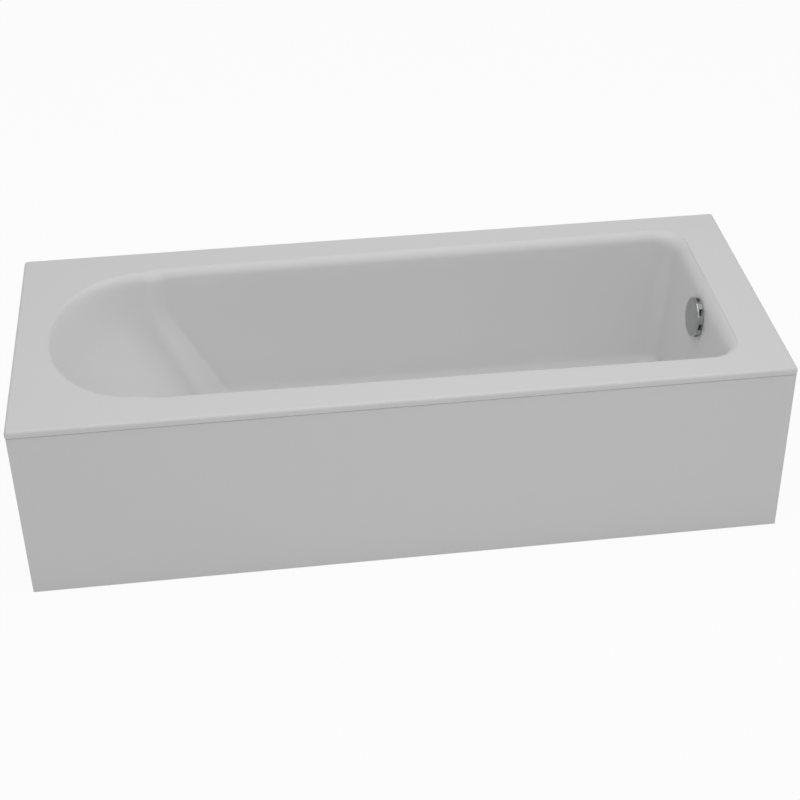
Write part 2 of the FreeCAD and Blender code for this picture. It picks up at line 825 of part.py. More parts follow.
def waste_flange():
    """Chrome flange with its threaded tube and the three-armed guide of the plug's stem."""
    disc = upright(waste_flange_radius, drain_x, 0, upper_seal_top_z, flange_top_z)
    rim = [e for e in disc.Edges if e.BoundBox.ZMin > upper_seal_top_z + waste_bevel]
    disc = disc.makeFillet(waste_bevel, rim)
    tube = upright(waste_tube_radius, drain_x, 0, neck_bottom_z, upper_seal_top_z)
    body = joined(disc, tube).cut(upright(waste_bore, drain_x, 0, neck_bottom_z - overrun,
                                          flange_top_z + overrun))
    hub_top = upper_seal_top_z - spider_hub_drop
    hub_bottom = hub_top - spider_hub_height
    hub = upright(spider_hub_radius, drain_x, 0, hub_bottom, hub_top)
    arms = []
    side = spider_arm_width / 2
    reach = waste_bore + waste_tube_wall / 2
    for k in range(spider_arms):
        arm = box(drain_x, drain_x + reach, -side, side, hub_bottom, hub_top)
        arm.rotate(Vector(drain_x, 0, 0), Vector(0, 0, 1), 360 * k / spider_arms)
        arms.append(arm)
    body = joined(body, hub, *arms)
    bore = stem_radius + running_clearance
    return body.cut(upright(bore, drain_x, 0, hub_bottom - overrun, hub_top + overrun))


def plug_cap():
    """Domed chrome lid of the waste with a blind socket for its stem."""
    high = plug_bottom_z + plug_thickness + plug_dome
    lid = upright(plug_radius, drain_x, 0, plug_bottom_z, high)
    lid = lid.common(dome_ball(plug_radius, plug_dome, Vector(drain_x, 0, high), -1))
    return lid.cut(upright(stem_radius, drain_x, 0, plug_bottom_z - overrun,
                           plug_bottom_z + plug_socket_depth))


def dome_ball(radius, rise, crown, side):
    """Ball whose skin gives a lid of one radius a low dome, lying above or below its crown."""
    ball = (radius ** 2 + rise ** 2) / (2 * rise)
    return Part.makeSphere(ball, crown + Vector(0, 0, side * ball), Vector(1, 0, 0))


def plug_stem():
    """Guide stem of the plug with a nose that the lift lever raises."""
    nose_z = stem_bottom_z + stem_nose_height
    nose = Part.makeCone(stem_nose_radius, stem_radius, stem_nose_height, Vector(drain_x, 0, stem_bottom_z))
    return joined(nose, upright(stem_radius, drain_x, 0, nose_z, plug_bottom_z + plug_socket_depth))


def waste_body():
    """Moulded cup under the floor with its outlet spigot, hose inlet, cable gland and lever bearings."""
    cup = upright(body_radius, drain_x, 0, body_bottom_z, lower_seal_bottom_z)
    flange = upright(body_flange_radius, drain_x, 0, body_flange_bottom_z, lower_seal_bottom_z)
    outlet = rod(pipe_radius, Vector(drain_x, 0, spigot_z), Vector(drain_x + spigot_reach, 0, spigot_z))
    inlet = rod(hose_crest_radius, Vector(drain_x, 0, hose_inlet_z), Vector(drain_x, -hose_inlet_reach,
                                                                            hose_inlet_z))
    gland = rod(gland_radius, Vector(drain_x, 0, waste_gland_z), Vector(drain_x, waste_gland_reach,
                                                                        waste_gland_z))
    body = joined(cup, flange, outlet, inlet, gland)
    bore = body_radius - body_wall
    neck = waste_tube_radius + thread_clearance
    body = body.cut(upright(bore, drain_x, 0, body_bottom_z + body_wall, neck_bottom_z))
    body = body.cut(upright(neck, drain_x, 0, neck_bottom_z - overrun, lower_seal_bottom_z + overrun))
    past_outlet = Vector(drain_x + spigot_reach + overrun, 0, spigot_z)
    body = body.cut(rod(pipe_radius - pipe_wall, Vector(drain_x, 0, spigot_z), past_outlet))
    past_inlet = Vector(drain_x, -hose_inlet_reach - overrun, hose_inlet_z)
    body = body.cut(rod(hose_bore_radius, Vector(drain_x, 0, hose_inlet_z), past_inlet))
    past_gland = Vector(drain_x, waste_gland_reach + overrun, waste_gland_z)
    body = body.cut(rod(cable_radius + cable_clearance, Vector(drain_x, 0, waste_gland_z), past_gland))
    return body.cut(lever_pin(screw_clearance))


def lever_pin(grow):
    """Steel pin across the waste body on which the lift lever turns."""
    reach = pin_half_length + grow
    start = Vector(drain_x - reach, lever_pivot_y, lever_pivot_z)
    return rod(pin_radius + grow / 2, start, Vector(drain_x + reach, lever_pivot_y, lever_pivot_z))


def lift_lever():
    """Bell crank whose tip lifts the plug's stem when the cable pulls its short arm."""
    side = lever_width / 2
    tip_y = lever_pivot_y - lever_reach
    x0 = drain_x - side
    x1 = drain_x + side
    rise = lever_height / 2
    hub = rod(lever_hub_radius, Vector(x0, lever_pivot_y, lever_pivot_z), Vector(x1, lever_pivot_y,
                                                                                 lever_pivot_z))
    arm = box(x0, x1, tip_y, lever_pivot_y, lever_pivot_z - rise, lever_pivot_z + rise)
    tip = rod(rise, Vector(x0, tip_y, lever_pivot_z), Vector(x1, tip_y, lever_pivot_z))
    crank = box(x0, x1, lever_pivot_y - rise, lever_pivot_y + rise, lever_pivot_z - lever_crank,
                lever_pivot_z)
    lever = joined(hub, arm, tip, crank)
    bore = pin_radius + running_clearance
    lever = lever.cut(rod(bore, Vector(x0 - overrun, lever_pivot_y, lever_pivot_z),
                          Vector(x1 + overrun, lever_pivot_y, lever_pivot_z)))
    lever.rotate(Vector(drain_x, lever_pivot_y, lever_pivot_z), Vector(1, 0, 0), lever_rest_angle)
    return lever


# Trap pipe: down into the water seal, up the riser and out towards the wall
spigot_end_x = drain_x + spigot_reach
riser_x = half_length - riser_from_foot_edge
outlet_y = half_width - outlet_wall_gap


def trap_pipe():
    """Bent waste pipe that keeps a water seal in its dip."""
    slope_x = spigot_end_x + trap_fall_run
    points = [Vector(spigot_end_x, 0, spigot_z), Vector(slope_x, 0, spigot_z),
              Vector(slope_x + trap_slope_run, 0, trap_dip_z), Vector(riser_x, 0, trap_dip_z),
              Vector(riser_x, 0, outlet_z), Vector(riser_x, outlet_y, outlet_z)]
    path = bent_path(points, [trap_dip_bend, trap_dip_bend, trap_bend, trap_bend])
    return swept(path, pipe_radius).cut(swept(path, pipe_radius - pipe_wall))


def union_nut():
    """Ribbed nut that joins the trap to the waste body's spigot."""
    side = union_nut_length / 2
    start = Vector(spigot_end_x - side, 0, spigot_z)
    end = Vector(spigot_end_x + side, 0, spigot_z)
    body = rod(union_nut_radius - union_nut_rib_radius, start, end)
    ribs = []
    for k in range(union_nut_ribs):
        turn = math.radians(360 * k / union_nut_ribs)
        away = union_nut_radius - union_nut_rib_radius
        shift = Vector(0, away * math.cos(turn), away * math.sin(turn))
        ribs.append(rod(union_nut_rib_radius, start + shift, end + shift))
    body = joined(body, *ribs)
    bore = pipe_radius + union_nut_clearance
    past = Vector(overrun, 0, 0)
    return body.cut(rod(bore, start - past, end + past))


# Distances along the overflow's axis, counted from the wet face of the foot wall
gasket_start = backing_skin
housing_start = gasket_start + gasket_thickness
housing_body = housing_start + housing_flange_thickness
housing_end = housing_body + housing_depth
back_start = housing_end - housing_wall
bearing_start = back_start - bearing_length
spindle_end = housing_end - bearing_bottom - spindle_end_gap
post_start = overflow_tube_length + overflow_flange_thickness
crank_start = housing_body + crank_setback
knob_top = -knob_height


def overflow_flange():
    """Chrome ring inside the basin with four water ways, a spindle bearing and a tube through the wall."""
    back = -overflow_flange_thickness
    bore_radius = overflow_tube_radius - overflow_tube_wall
    disc = ring(overflow_flange_radius, bore_radius, 0, 0, back, -overflow_seat_gap)
    tube = ring(overflow_tube_radius, bore_radius, 0, 0, back, overflow_tube_length)
    hub = upright(overflow_hub_radius, 0, 0, back, overflow_hub_length)
    side = overflow_spoke_width / 2
    reach = overflow_tube_radius - overflow_tube_wall / 2
    across = box(-side, side, -reach, reach, back, 0)
    upward = box(-reach, reach, -side, side, back, 0)
    body = joined(disc, tube, hub, across, upward)
    bore = spindle_radius + running_clearance
    body = body.cut(upright(bore, 0, 0, back - overrun, overflow_hub_length + overrun))
    for y in (-overflow_screw_offset, overflow_screw_offset):
        body = body.cut(overflow_screw(y, screw_clearance))
    return placed(body)


def overflow_screw(y, grow):
    """Countersunk screw from the inner flange into a post of the housing, in the overflow's own axes."""
    face = -overflow_flange_thickness
    wide = overflow_screw_head_radius + grow
    thin = overflow_screw_radius + grow
    head = Part.makeCone(wide, thin, overflow_screw_head_height, Vector(0, y, face))
    shank = upright(thin, 0, y, face, post_start + overflow_screw_bite + grow)
    return joined(head, shank)


def overflow_housing():
    """Moulded cup behind the foot wall with a hose outlet, cable gland, screw posts and spindle bearing."""
    flange = upright(housing_flange_radius, 0, 0, housing_start, housing_body)
    cup = upright(housing_radius, 0, 0, housing_start, housing_end)
    body = placed(joined(flange, cup))
    out_x = overflow_outlet_x()
    middle_z = overflow_centre.z - foot_draft_share * (out_x - overflow_centre.x)
    outlet = upright(hose_crest_radius, out_x, 0, housing_outlet_z, middle_z)
    gland = upright(gland_radius, out_x, gland_y, gland_bottom_z, middle_z)
    body = joined(body, outlet, gland)
    room = upright(housing_radius - housing_wall, 0, 0, housing_body, back_start)
    mouth = upright(overflow_hole_radius, 0, 0, housing_start - overrun, housing_body + overrun)
    body = body.cut(placed(room)).cut(placed(mouth))
    body = body.cut(upright(hose_bore_radius, out_x, 0, housing_outlet_z - overrun, middle_z))
    body = body.cut(upright(cable_radius + cable_clearance, out_x, gland_y, gland_bottom_z - overrun,
                            middle_z))
    inner = [upright(bearing_radius, 0, 0, bearing_start, housing_end)]
    for y in (-overflow_screw_offset, overflow_screw_offset):
        inner.append(upright(overflow_screw_post_radius, 0, y, post_start, housing_end))
    body = joined(body, *[placed(piece) for piece in inner])
    bore = spindle_radius + running_clearance
    body = body.cut(placed(upright(bore, 0, 0, bearing_start - overrun, housing_end - bearing_bottom)))
    for y in (-overflow_screw_offset, overflow_screw_offset):
        body = body.cut(placed(overflow_screw(y, screw_clearance)))
    return body


def overflow_outlet_x():
    """Place of the housing's outlet behind the foot wall."""
    return overflow_centre.x + (housing_body + back_start) / 2


def overflow_knob():
    """Chrome control rosette: domed face, skirt with water notches and a hub for the spindle."""
    skirt = -knob_wall_gap
    inner = knob_radius - knob_wall
    lining = knob_top + knob_dome + knob_face
    cap = upright(knob_radius, 0, 0, knob_top, skirt)
    cap = cap.common(dome_ball(knob_radius, knob_dome, Vector(0, 0, knob_top), 1))
    cap = cap.makeFillet(knob_edge_radius, [e for e in cap.Edges if e.Closed and e.BoundBox.ZMax < lining])
    cap = cap.cut(upright(inner, 0, 0, lining, skirt + overrun))
    side = knob_notch_width / 2
    for k in range(knob_notches):
        notch = box(inner - overrun, knob_radius + overrun, -side, side, skirt - knob_notch_depth,
                    skirt + overrun)
        notch.rotate(Vector(0, 0, 0), Vector(0, 0, 1), 360 * k / knob_notches)
        cap = cap.cut(notch)
    hub = upright(knob_hub_radius, 0, 0, lining - knob_face / 2,
                  -overflow_flange_thickness - knob_hub_foot_gap)
    cap = joined(cap, hub)
    return placed(cap.cut(upright(spindle_radius, 0, 0, lining, overrun)))


def knob_spindle():
    """Steel spindle from the knob's hub through the flange to the housing's bearing."""
    start = knob_top + knob_dome + knob_face
    return placed(upright(spindle_radius, 0, 0, start, spindle_end))


def cable_crank():
    """Disc on the spindle whose pin pulls the cable."""
    disc = upright(crank_radius, 0, 0, crank_start, crank_start + crank_thickness)
    end = crank_start + crank_thickness + crank_pin_length
    pin = upright(crank_pin_radius, crank_pin_offset, 0, crank_start, end)
    disc = joined(disc, pin)
    return placed(disc.cut(upright(spindle_radius, 0, 0, crank_start - overrun, end + overrun)))


def hose_path():
    """Line of the overflow hose from the housing down and round to the waste body."""
    out_x = overflow_outlet_x()
    points = [Vector(out_x, 0, housing_outlet_z), Vector(out_x, 0, housing_outlet_z - hose_end_run),
              Vector(out_x - hose_lean, hose_lean - hose_side_swing, hose_inlet_z + hose_low_rise),
              Vector(drain_x + hose_floor_run, -hose_side_swing, hose_inlet_z),
              Vector(drain_x, -hose_side_swing, hose_inlet_z), Vector(drain_x, -hose_inlet_reach,
                                                                      hose_inlet_z)]
    return bent_path(points, [hose_bend * share for share in hose_bend_shares])


def ribbed_hose():
    """Corrugated hose: ribs in even steps along its line, with plain ends and an open bore."""
    path = hose_path()
    whole = path.Length
    ribs = round((whole - 4 * hose_crest_radius) / hose_rib_pitch)
    first = (whole - ribs * hose_rib_pitch) / 2
    stations = [(0, hose_crest_radius), (first, hose_crest_radius)]
    for k in range(ribs):
        for share, radius in zip(hose_rib_shares, hose_rib_radii):
            stations.append((first + (k + share) * hose_rib_pitch, radius))
    stations.append((whole, hose_crest_radius))
    outer = Part.makeLoft(hose_circles(path, stations), True, True)
    return outer.cut(swept(path, hose_bore_radius))


def hose_circles(path, stations):
    """Circles square to the hose's line, carried along it without twisting."""
    circles = []
    edges = path.OrderedEdges
    passed = 0
    side = Vector(1, 0, 0)
    before = Vector(0, 0, -1)
    for at, radius in stations:
        while at > passed + edges[0].Length and len(edges) > 1:
            passed += edges[0].Length
            edges = edges[1:]
        where = edges[0].getParameterByLength(min(at - passed, edges[0].Length))
        along = edges[0].tangentAt(where).normalize()
        side = FreeCAD.Rotation(before, along).multVec(side)
        before = along
        circle = Part.Circle(edges[0].valueAt(where), along, radius)
        circle.XAxis = side
        circles.append(Part.Wire(circle.toShape()))
    return circles


def hose_collar(start, along):
    """Smooth collar over a spigot and the end of the hose."""
    side = along * (collar_length / 2)
    past = along * overrun
    body = rod(collar_radius, start - side, start + side)
    return body.cut(rod(hose_crest_radius + collar_clearance, start - side - past, start + side + past))


def control_cable():
    """Sheathed cable from the overflow's gland to the waste body's gland."""
    out_x = overflow_outlet_x()
    points = [Vector(out_x, gland_y, gland_bottom_z + gland_overlap),
              Vector(out_x, gland_y, gland_bottom_z - cable_straight),
              Vector(out_x - cable_lean, cable_swing, waste_gland_z + cable_low_rise),
              Vector(drain_x + cable_floor_run, cable_swing, waste_gland_z),
              Vector(drain_x, cable_swing, waste_gland_z),
              Vector(drain_x, waste_gland_reach - gland_overlap, waste_gland_z)]
    return swept(bent_path(points, [cable_bend * 3, cable_bend, cable_bend * 2, cable_end_bend]),
                 cable_radius)


os.makedirs("parts", exist_ok=True)

save("bath_shell", bath_shell())
save("fibreglass_backing", fibreglass_backing())
save("base_board", base_board())
save("rim_batten_front", side_batten(-batten_outer_y, -batten_inner_y))
save("rim_batten_rear", rear_batten())
save("rim_batten_head", end_batten(-batten_outer_x, -batten_inner_x))
save("rim_batten_foot", end_batten(batten_inner_x, batten_outer_x))

save("cradle_rail_head", cradle_rail(rail_head_x))
save("cradle_rail_foot", cradle_rail(rail_foot_x))
save("cradle_screws", *[rail_screw(x, y) for x, y in rail_screw_places()])
for number, (x, y) in enumerate(foot_places(), 1):
    save("foot_stud_" + str(number), foot_stud(x, y))
    save("foot_pad_" + str(number), foot_pad(x, y))
save("rail_nuts", *[nut(x, y, board_bottom_z) for x, y in foot_places()])
save("lock_nuts", *[nut(x, y, web_bottom_z - nut_height) for x, y in foot_places()])

save("front_panel", front_panel())
save("panel_clips", *[panel_clip(x) for x in clip_places()])
save("panel_catch_arms", *[catch_arm(x) for x in (rail_head_x, rail_foot_x)])
save("catch_magnets", *[catch_magnet(x) for x in (rail_head_x, rail_foot_x)])
save("strike_plates", *[strike_plate(x) for x in (rail_head_x, rail_foot_x)])
save("wall_bracket_head", wall_bracket(-bracket_x))
save("wall_bracket_foot", wall_bracket(bracket_x))
save("wall_bracket_screws", *[bracket_screw(x) for x in bracket_screw_xs()])

save("waste_flange", waste_flange())
save("waste_upper_seal", ring(waste_flange_radius - waste_bevel, drain_hole_radius, drain_x, 0, recess_z,
                              upper_seal_top_z))
save("waste_lower_seal", ring(body_flange_radius, drain_hole_radius, drain_x, 0, lower_seal_bottom_z,
                              backing_boss_z))
save("waste_body", waste_body())
save("plug_cap", plug_cap())
save("plug_stem", plug_stem())
save("plug_seal", ring(plug_seal_outer, plug_seal_inner, drain_x, 0, plug_seal_bottom_z, plug_bottom_z))
save("lift_lever", lift_lever())
save("lever_pin", lever_pin(0))
save("trap_pipe", trap_pipe())
save("trap_union_nut", union_nut())

save("overflow_flange", overflow_flange())
save("overflow_screws", *[placed(overflow_screw(y, 0)) for y in (-overflow_screw_offset,
                                                                 overflow_screw_offset)])
save("overflow_gasket", placed(ring(gasket_outer_radius, gasket_inner_radius, 0, 0, gasket_start,
                                    housing_start)))
save("overflow_housing", overflow_housing())
save("overflow_knob", overflow_knob())
save("knob_spindle", knob_spindle())
save("cable_crank", cable_crank())
save("overflow_hose", ribbed_hose())
save("hose_collar_upper", hose_collar(Vector(overflow_outlet_x(), 0, housing_outlet_z), Vector(0, 0, 1)))
save("hose_collar_lower", hose_collar(Vector(drain_x, -hose_inlet_reach, hose_inlet_z), Vector(0, 1, 0)))
save("control_cable", control_cable())
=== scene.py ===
import math

import bmesh
import bpy
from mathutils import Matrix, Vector


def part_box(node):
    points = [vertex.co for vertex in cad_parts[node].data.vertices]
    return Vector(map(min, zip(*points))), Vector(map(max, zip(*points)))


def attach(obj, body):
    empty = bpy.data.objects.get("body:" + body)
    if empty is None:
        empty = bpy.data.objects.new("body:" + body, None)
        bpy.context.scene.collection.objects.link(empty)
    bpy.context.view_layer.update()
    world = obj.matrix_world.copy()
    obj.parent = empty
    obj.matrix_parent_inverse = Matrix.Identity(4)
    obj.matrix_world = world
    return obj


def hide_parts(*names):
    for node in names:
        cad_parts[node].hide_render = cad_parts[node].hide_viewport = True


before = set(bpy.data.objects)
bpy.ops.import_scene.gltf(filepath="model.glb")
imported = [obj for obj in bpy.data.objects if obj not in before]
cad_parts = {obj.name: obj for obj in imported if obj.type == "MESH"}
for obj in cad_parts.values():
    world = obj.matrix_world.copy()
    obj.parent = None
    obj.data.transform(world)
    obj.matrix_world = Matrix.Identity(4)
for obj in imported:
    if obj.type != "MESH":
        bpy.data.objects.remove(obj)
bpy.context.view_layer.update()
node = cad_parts


# The studio: a pale floor that shows as clean white, with a faint shadow under the bath.
# Three large soft boxes light it: overhead, from the right and from the front.
scene = bpy.context.scene
scene.view_settings.view_transform = "Standard"

camera_eye = Vector((-0.3392, -3.2046, 2.4983))
camera_look = Vector((0.1147, 0.8139, -0.5696))
camera_data = bpy.data.cameras.new("camera")
camera_data.lens = 75.0
camera_data.sensor_width = 36.0
camera_data.shift_x = -0.0517
camera_data.shift_y = -0.0311
camera_data.clip_end = 60.0
camera = bpy.data.objects.new("camera", camera_data)
camera.location = camera_eye
camera.rotation_mode = "QUATERNION"
camera.rotation_quaternion = camera_look.to_track_quat("-Z", "Y")
scene.collection.objects.link(camera)
scene.camera = camera


def seen_rays(nodes, links):
    """Mask of the rays that should see clean white: camera, glossy and transmission."""
    path = nodes.new("ShaderNodeLightPath")
    first = nodes.new("ShaderNodeMath")
    first.operation = "MAXIMUM"
    links.new(path.outputs["Is Camera Ray"], first.inputs[0])
    links.new(path.outputs["Is Glossy Ray"], first.inputs[1])
    second = nodes.new("ShaderNodeMath")
    second.operation = "MAXIMUM"
    links.new(first.outputs[0], second.inputs[0])
    links.new(path.outputs["Is Transmission Ray"], second.inputs[1])
    return second.outputs[0]


sky_strength = 0.417
white = (1.0, 1.0, 1.0, 1.0)
world = bpy.data.worlds.new("studio")
scene.world = world
world.use_nodes = True
world.node_tree.nodes.clear()
sky_light = world.node_tree.nodes.new("ShaderNodeBackground")
sky_light.inputs["Strength"].default_value = sky_strength
sky_seen = world.node_tree.nodes.new("ShaderNodeBackground")
sky_mix = world.node_tree.nodes.new("ShaderNodeMixShader")
sky_out = world.node_tree.nodes.new("ShaderNodeOutputWorld")
sky_light.inputs["Color"].default_value = white
sky_seen.inputs["Color"].default_value = white
path_node = world.node_tree.nodes.new("ShaderNodeLightPath")
world.node_tree.links.new(path_node.outputs["Is Camera Ray"], sky_mix.inputs["Fac"])
world.node_tree.links.new(sky_light.outputs[0], sky_mix.inputs[1])
world.node_tree.links.new(sky_seen.outputs[0], sky_mix.inputs[2])
world.node_tree.links.new(sky_mix.outputs[0], sky_out.inputs["Surface"])

floor_half = 9.0
floor_tone = (0.86, 0.86, 0.86, 1.0)
floor_seen_white = 0.94
floor_mesh = bpy.data.meshes.new("studio_floor")
floor_bm = bmesh.new()
bmesh.ops.create_grid(floor_bm, x_segments=1, y_segments=1, size=floor_half)
floor_bm.to_mesh(floor_mesh)
floor_bm.free()
floor = bpy.data.objects.new("studio_floor", floor_mesh)
scene.collection.objects.link(floor)
floor_mat = bpy.data.materials.new("studio_floor")
floor_mat.use_nodes = True
floor_mat.node_tree.nodes.clear()
floor_lit = floor_mat.node_tree.nodes.new("ShaderNodeBsdfDiffuse")
floor_lit.inputs["Color"].default_value = floor_tone
floor_white = floor_mat.node_tree.nodes.new("ShaderNodeEmission")
floor_white.inputs["Color"].default_value = white
floor_share = floor_mat.node_tree.nodes.new("ShaderNodeMath")
floor_share.operation = "MULTIPLY"
floor_share.inputs[1].default_value = floor_seen_white
floor_mix = floor_mat.node_tree.nodes.new("ShaderNodeMixShader")
floor_out = floor_mat.node_tree.nodes.new("ShaderNodeOutputMaterial")
floor_links = floor_mat.node_tree.links
floor_links.new(seen_rays(floor_mat.node_tree.nodes, floor_links), floor_share.inputs[0])
floor_links.new(floor_share.outputs[0], floor_mix.inputs["Fac"])
floor_links.new(floor_lit.outputs[0], floor_mix.inputs[1])
floor_links.new(floor_white.outputs[0], floor_mix.inputs[2])
floor_links.new(floor_mix.outputs[0], floor_out.inputs["Surface"])
floor_mesh.materials.append(floor_mat)


lamp_target = Vector((0.0, 0.0, 0.3))
lamp_size = 2.6


def soft_lamp(name, place, power):
    """Square soft box aimed at the middle of the bath."""
    data = bpy.data.lights.new(name, "AREA")
    data.shape = "SQUARE"
    data.size = lamp_size
    data.energy = power
    lamp = bpy.data.objects.new(name, data)
    lamp.location = place
    lamp.rotation_mode = "QUATERNION"
    lamp.rotation_quaternion = (lamp_target - Vector(place)).to_track_quat("-Z", "Y")
    scene.collection.objects.link(lamp)


soft_lamp("lamp_overhead", place=(0.0, 0.0, 3.3), power=22.0)
soft_lamp("lamp_right", place=(1.7, -0.2, 2.9), power=6.4)
soft_lamp("lamp_front", place=(0.0, -2.2, 2.8), power=12.7)


# The bath itself: one sheet of white acrylic, drawn by vacuum over a mould, so its edges are all
# rolled and its gloss has a very slight ripple. The lip hangs down all round the flat rim.
def new_group(name, inputs, outputs):
    """Empty shader group with its sockets, and its two end nodes."""
    tree = bpy.data.node_groups.new(name, "ShaderNodeTree")
    for label, kind, value in inputs:
        socket = tree.interface.new_socket(label, in_out="INPUT", socket_type=kind)
        socket.default_value = value
    for label, kind in outputs:
        tree.interface.new_socket(label, in_out="OUTPUT", socket_type=kind)
    return tree, tree.nodes.new("NodeGroupInput"), tree.nodes.new("NodeGroupOutput")


COLOUR = "NodeSocketColor"
NUMBER = "NodeSocketFloat"
NORMAL = "NodeSocketVector"

# Moulded skin: slow drift of tone, fine variation of gloss and a shallow ripple
skin, skin_in, skin_out = new_group(
    "moulded_skin",
    [("Tone", COLOUR, (0.8, 0.8, 0.8, 1.0)), ("Drift", NUMBER, 0.03), ("Drift Scale", NUMBER, 4.0),
     ("Gloss Low", NUMBER, 0.3), ("Gloss High", NUMBER, 0.4), ("Grain Scale", NUMBER, 300.0),
     ("Grain Depth", NUMBER, 0.0002)],
    [("Tone", COLOUR), ("Roughness", NUMBER), ("Normal", NORMAL)],
)
skin_place = skin.nodes.new("ShaderNodeTexCoord")
skin_cloud = skin.nodes.new("ShaderNodeTexNoise")
skin_cloud.inputs["Detail"].default_value = 4.0
skin_spread = skin.nodes.new("ShaderNodeMath")
skin_spread.operation = "MULTIPLY_ADD"
skin_spread.inputs[2].default_value = 1.0
skin_centre = skin.nodes.new("ShaderNodeMath")
skin_centre.operation = "SUBTRACT"
skin_centre.inputs[1].default_value = 0.5
skin_tone = skin.nodes.new("ShaderNodeVectorMath")
skin_tone.operation = "SCALE"
skin_grain = skin.nodes.new("ShaderNodeTexNoise")
skin_grain.inputs["Detail"].default_value = 3.0
skin_gloss = skin.nodes.new("ShaderNodeMapRange")
skin_bump = skin.nodes.new("ShaderNodeBump")
skin_bump.inputs["Strength"].default_value = 1.0
link = skin.links.new
link(skin_place.outputs["Object"], skin_cloud.inputs["Vector"])
link(skin_in.outputs["Drift Scale"], skin_cloud.inputs["Scale"])
link(skin_cloud.outputs["Fac"], skin_centre.inputs[0])
link(skin_centre.outputs[0], skin_spread.inputs[0])
link(skin_in.outputs["Drift"], skin_spread.inputs[1])
link(skin_in.outputs["Tone"], skin_tone.inputs[0])
link(skin_spread.outputs[0], skin_tone.inputs["Scale"])
link(skin_tone.outputs[0], skin_out.inputs["Tone"])
link(skin_place.outputs["Object"], skin_grain.inputs["Vector"])
link(skin_in.outputs["Grain Scale"], skin_grain.inputs["Scale"])
link(skin_cloud.outputs["Fac"], skin_gloss.inputs["Value"])
link(skin_in.outputs["Gloss Low"], skin_gloss.inputs["To Min"])
link(skin_in.outputs["Gloss High"], skin_gloss.inputs["To Max"])
link(skin_gloss.outputs[0], skin_out.inputs["Roughness"])
link(skin_grain.outputs["Fac"], skin_bump.inputs["Height"])
link(skin_in.outputs["Grain Depth"], skin_bump.inputs["Distance"])
link(skin_bump.outputs[0], skin_out.inputs["Normal"])


def skinned(name, tone, drift, drift_scale, gloss, grain_scale, grain_depth):
    """Material with the moulded skin; gives back the material, its shader and its skin node."""
    mat = bpy.data.materials.new(name)
    mat.use_nodes = True
    tree = mat.node_tree
    shader = tree.nodes["Principled BSDF"]
    coat = tree.nodes.new("ShaderNodeGroup")
    coat.node_tree = skin
    coat.inputs["Tone"].default_value = (*tone, 1.0)
    coat.inputs["Drift"].default_value = drift
    coat.inputs["Drift Scale"].default_value = drift_scale
    coat.inputs["Gloss Low"].default_value = gloss[0]
    coat.inputs["Gloss High"].default_value = gloss[1]
    coat.inputs["Grain Scale"].default_value = grain_scale
    coat.inputs["Grain Depth"].default_value = grain_depth
    tree.links.new(coat.outputs["Tone"], shader.inputs["Base Color"])
    tree.links.new(coat.outputs["Roughness"], shader.inputs["Roughness"])
    tree.links.new(coat.outputs["Normal"], shader.inputs["Normal"])
    return mat, shader, coat


def dress(mat, *names):
    """Give CAD pieces a finish."""
    for name in names:
        mesh = node[name].data
        mesh.materials.clear()
        mesh.materials.append(mat)


acrylic, acrylic_shader, _ = skinned(
    "white_acrylic", tone=(0.8, 0.8, 0.805), drift=0.02, drift_scale=2.5,
    gloss=(0.3, 0.36), grain_scale=60.0, grain_depth=0.00004)
acrylic_shader.inputs["Specular IOR Level"].default_value = 0.35
dress(acrylic, "bath_shell")


# Glass fibre backing: chopped strands rolled into resin on the hidden side of the basin.
# The strands lie every way and show through as a pale tangle under a thin uneven gloss.
backing_mat, _, backing_skin = skinned(
    "chopped_strand", tone=(0.60, 0.57, 0.47), drift=0.2, drift_scale=9.0,
    gloss=(0.3, 0.6), grain_scale=160.0, grain_depth=0.0012)
strand_tree = backing_mat.node_tree
strand_place = strand_tree.nodes.new("ShaderNodeTexCoord")
strand_length = 0.05
strand_width = 0.0035
strand_sum = None
for turn, slant in ((15.0, 25.0), (70.0, -50.0), (-35.0, 75.0), (110.0, 10.0), (-40.0, -35.0)):
    lay = strand_tree.nodes.new("ShaderNodeMapping")
    lay.vector_type = "TEXTURE"
    lay.inputs["Rotation"].default_value = (0.0, math.radians(slant), math.radians(turn))
    lay.inputs["Scale"].default_value = (strand_length, strand_width, strand_width)
    tangle = strand_tree.nodes.new("ShaderNodeTexNoise")
    tangle.inputs["Scale"].default_value = 1.0
    tangle.inputs["Detail"].default_value = 2.0
    strand_tree.links.new(strand_place.outputs["Object"], lay.inputs["Vector"])
    strand_tree.links.new(lay.outputs[0], tangle.inputs["Vector"])
    if strand_sum is None:
        strand_sum = tangle.outputs["Fac"]
    else:
        top = strand_tree.nodes.new("ShaderNodeMath")
        top.operation = "MAXIMUM"
        strand_tree.links.new(strand_sum, top.inputs[0])
        strand_tree.links.new(tangle.outputs["Fac"], top.inputs[1])
        strand_sum = top.outputs[0]
strand_ramp = strand_tree.nodes.new("ShaderNodeValToRGB")
strand_ramp.color_ramp.elements[0].position = 0.52
strand_ramp.color_ramp.elements[0].color = (0.50, 0.47, 0.36, 1.0)
strand_ramp.color_ramp.elements[1].position = 0.78
strand_ramp.color_ramp.elements[1].color = (0.72, 0.70, 0.62, 1.0)
strand_tree.links.new(strand_sum, strand_ramp.inputs[0])
strand_tree.links.new(strand_ramp.outputs[0], backing_skin.inputs["Tone"])
dress(backing_mat, "fibreglass_backing")


